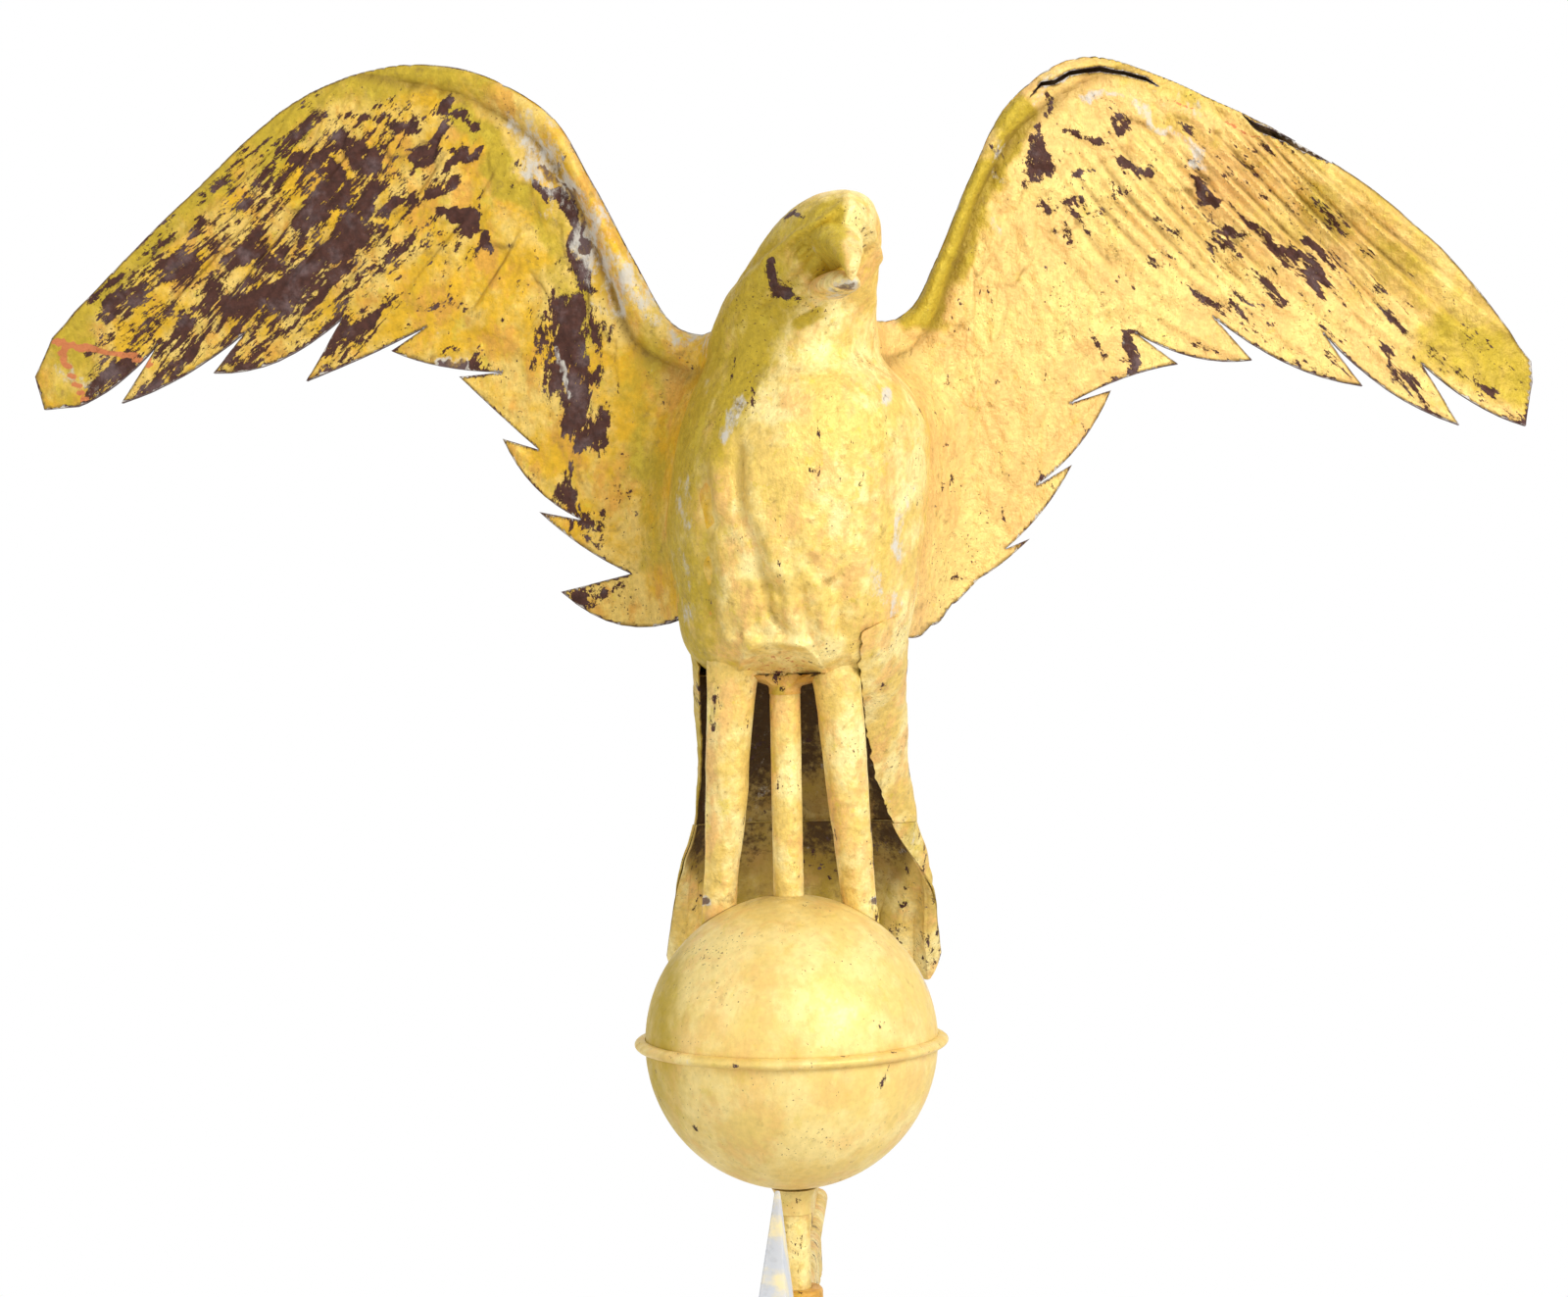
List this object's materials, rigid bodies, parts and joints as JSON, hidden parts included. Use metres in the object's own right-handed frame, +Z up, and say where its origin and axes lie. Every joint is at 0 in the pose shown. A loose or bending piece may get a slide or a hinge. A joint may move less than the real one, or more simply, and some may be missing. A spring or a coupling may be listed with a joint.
{
  "type": "weathervane",
  "caption": "Gilded sheet-copper weathervane: a spread eagle with raised wings on a ball over an arrow, turning on a fixed steel spindle.",
  "frame": {"origin": "centre of the fixed spindle's flat lower end", "axes": "+Z up along the spindle; the eagle and the arrow face -Y; +X is the eagle's left wing"},
  "size_m": [0.831, 0.601, 0.7876],
  "materials": {
    "gilded_body": "worn gold leaf over yellow size on sheet copper",
    "gilded_wing": "worn gold leaf, flaked to dark oxide on the flight feathers",
    "gilded_ball": "smooth worn gold leaf on spun copper",
    "copper": "thin worn gilding over browned copper",
    "zinc": "weathered grey-white cast zinc with traces of yellow",
    "steel": "dull turned steel"
  },
  "bodies": {
    "mast": {"spindle_rod": "steel", "spindle_collar": "steel", "collar_screw": "steel", "thrust_washer": "steel"},
    "vane": {"breast_shell": "gilded_body", "back_shell": "gilded_body", "head_shell": "gilded_body", "beak_upper": "gilded_body", "beak_lower": "gilded_body", "leg_left": "gilded_body", "leg_right": "gilded_body", "tail_upper": "gilded_body", "tail_under": "gilded_body", "arrow_fletch_upper": "gilded_body", "arrow_fletch_lower": "gilded_body", "wing_left_front": "gilded_wing", "wing_left_back": "gilded_wing", "wing_right_front": "gilded_wing", "wing_right_back": "gilded_wing", "ball_upper": "gilded_ball", "ball_lower": "gilded_ball", "ball_bead": "gilded_ball", "stem_flare": "gilded_ball", "spindle_tube": "copper", "belly_plate": "copper", "chest_brace": "copper", "arrow_hub": "copper", "arrow_shaft_front": "copper", "arrow_shaft_rear": "copper", "arrow_head": "zinc", "pivot_cap": "steel", "hub_screw": "steel"}
  },
  "joints": [
    {"name": "vane_spin", "type": "hinge", "parent": "mast", "child": "vane", "pos_m": [0, 0, 0.56], "axis": [0, 0, 1], "continuous": true}
  ]
}
